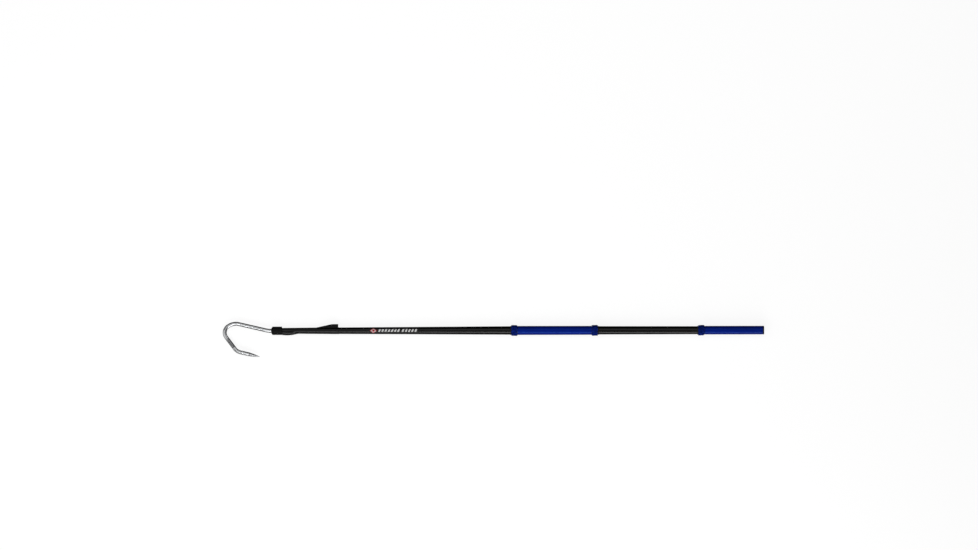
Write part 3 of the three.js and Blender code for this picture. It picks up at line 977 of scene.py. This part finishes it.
finish_piece(grip("fore_grip", "fore_grip_sleeve"), blue_sleeve, "blue_sleeve", "fore_grip_sleeve")
finish_piece(grip("rear_grip", "rear_grip_sleeve"), blue_sleeve, "blue_sleeve", "rear_grip_sleeve")
for i, end in enumerate(("fore_grip_front", "fore_grip_rear", "rear_grip_front")):
    turks_head = knot(f"{end}_turks_head", f"{end}_knot", phase=0.7 * i)
    finish_piece(turks_head, blue_cord, "blue_cord", f"{end}_knot")
    binding = whipping(f"{end}_binding", f"{end}_whipping", phase=2.6 + i)
    finish_piece(binding, black_cord, "black_cord", f"{end}_whipping")

label_start, label_end = span("pole_label")
label_middle = (label_start + label_end) / 2
print_look = label_look(label_middle, label_end - label_start, float(pole_radius(label_middle)))
finish_piece(label(), print_look, "label", "pole_label")
finish_piece(butt_cap(), end_shade_cap_rubber, "navy_rubber", "butt_cap")

hidden = {
    "shank_screw": moulded_look("screw_steel", (0.5, 0.5, 0.5), 0.35, 0.5),
    "shank_potting": epoxy_look(),
    "screw_fairing": moulded_look("fairing_filler", (0.02, 0.02, 0.021), 0.7, 0.3),
    "tip_foam_plug": foam_look(),
}
hidden["butt_foam_plug"] = hidden["tip_foam_plug"]
hidden["shank_screw"].node_tree.nodes["Principled BSDF"].inputs["Metallic"].default_value = 1.0
for node, look in hidden.items():
    dress(NODES[node], look)

# ---------------------------------------------------------------- floor, lights and camera
scene = bpy.context.scene
scene.view_settings.view_transform = "Standard"


def floor():
    """A pale floor with the faintest contact shadow, as under a cut-out product shot.

    Reflections and bounces see a painted colour instead: painted light on the near side, brightest below the
    hook, and painted shade on the far side, standing in for a black card in the studio.
    """
    half = 40.0
    corners = [(x, y, FLOOR_TOP) for x, y in ((-half, -half), (half, -half), (half, half), (-half, half))]
    plane = piece_from("floor", corners, [(0, 1, 2, 3)])
    look = Look("pale_floor", (0.9, 0.9, 0.9), 0.9, Specular_IOR_Level=0.0)
    seen = look.node("ShaderNodeLightPath").outputs["Is Camera Ray"]
    x, y, _ = look.parts(look.place)
    # Painted reflection colour for all rays but camera rays: painted light on the near side, brightest below
    # the hook, and painted shade past this edge on the far side of the pole.
    painted_shade_edge = look.between(x, -1.70, -1.65, -0.12, -0.015)
    past_painted_shade_edge = look.math("SUBTRACT", y, painted_shade_edge)
    near = look.mixed(look.between(x, -1.70, -1.65), (0.6, 0.6, 0.6), (0.27, 0.27, 0.27))
    painted_reflection_colour = look.mixed(look.between(past_painted_shade_edge, -0.03, 0.03), near, (0.015, 0.015, 0.015))
    look.colour(look.mixed(seen, painted_reflection_colour, (0.22, 0.22, 0.22)))
    look.shader.inputs["Emission Color"].default_value = (1, 1, 1, 1)
    look.feed(look.shader.inputs["Emission Strength"], look.math("MULTIPLY", seen, 0.86))
    plane.data.materials.append(look.material)


def backdrop():
    """White behind the floor's far edge, and nearly dark for everything that isn't the camera."""
    world = bpy.data.worlds.new("studio")
    scene.world = world
    world.use_nodes = True
    tree = world.node_tree
    seen = tree.nodes.new("ShaderNodeLightPath").outputs["Is Camera Ray"]
    glow = tree.nodes["Background"]
    tint = tree.nodes.new("ShaderNodeMix")
    tint.data_type = "RGBA"
    tint.inputs[6].default_value = (0.02, 0.02, 0.02, 1)
    tint.inputs[7].default_value = (1, 1, 1, 1)
    tree.links.new(seen, tint.inputs["Factor"])
    tree.links.new(tint.outputs[2], glow.inputs["Color"])


def softbox(name, start, end, width, radiance, target):
    """A flat light from start to end, width across, that faces target."""
    start, end, target = Vector(start), Vector(end), Vector(target)
    middle = (start + end) / 2
    along = (end - start).normalized()
    back = middle - target
    back = (back - along * back.dot(along)).normalized()
    lamp = bpy.data.lights.new(name, "AREA")
    lamp.shape = "RECTANGLE"
    lamp.size = (end - start).length
    lamp.size_y = width
    lamp.energy = radiance * lamp.size * width * math.pi
    made = bpy.data.objects.new(name, lamp)
    turn = Matrix((along, back.cross(along), back)).transposed().to_4x4()
    made.matrix_world = Matrix.Translation(middle) @ turn
    made.visible_camera = False
    scene.collection.objects.link(made)


def camera():
    """Straight down on the object, with the pole level and a little below the middle of the view."""
    distance = 30.0
    roll = math.radians(-0.08)
    sensor = 36.0
    view_width = 3.306
    from_butt = 0.9296  # the middle of the view, towards the hook and to the far side of the pole
    from_axis = 0.1876
    data = bpy.data.cameras.new("camera")
    data.lens = distance * sensor / view_width
    data.sensor_width = sensor
    data.clip_end = 100
    made = bpy.data.objects.new("camera", data)
    made.location = (-from_butt, from_axis, distance)
    made.rotation_euler = (0, 0, roll)
    scene.collection.objects.link(made)
    scene.camera = made


def key_strip():
    """The strip whose reflection is the light line along the pole. It stands lower at the butt's end."""
    tip = Vector((-1.6, 0, 0))
    butt = Vector((-0.1, 0, 0))
    distance = 2.6
    above = []
    for point, degrees in ((tip, -40), (butt, -69)):  # from straight up, towards +Y
        lean = math.radians(degrees)
        above.append(point + Vector((0, math.sin(lean), math.cos(lean))) * distance)
    past_ends = (above[1] - above[0]) * 0.6
    softbox("key_strip", above[0] - past_ends, above[1] + past_ends, 0.55, 7.0, (tip + butt) / 2)


floor()
backdrop()
key_strip()
softbox("overhead", (-3.6, 1.4, 2.3), (1.8, 1.4, 2.3), 1.8, 1.1, (-0.9, 1.4, 0))
softbox("zenith", (-3.6, -0.35, 3.0), (1.8, -0.35, 3.0), 2.0, 0.25, (-0.9, 0, 0))
softbox("near_side", (-4.5, -4.0, 0.75), (2.5, -4.0, 0.75), 1.3, 0.3, (-0.9, 0, 0.75))
softbox("tip_end", (-4.6, -2.5, 1.6), (-4.6, 0.6, 1.6), 2.4, 1.6, (-1.75, 0, 0))
camera()
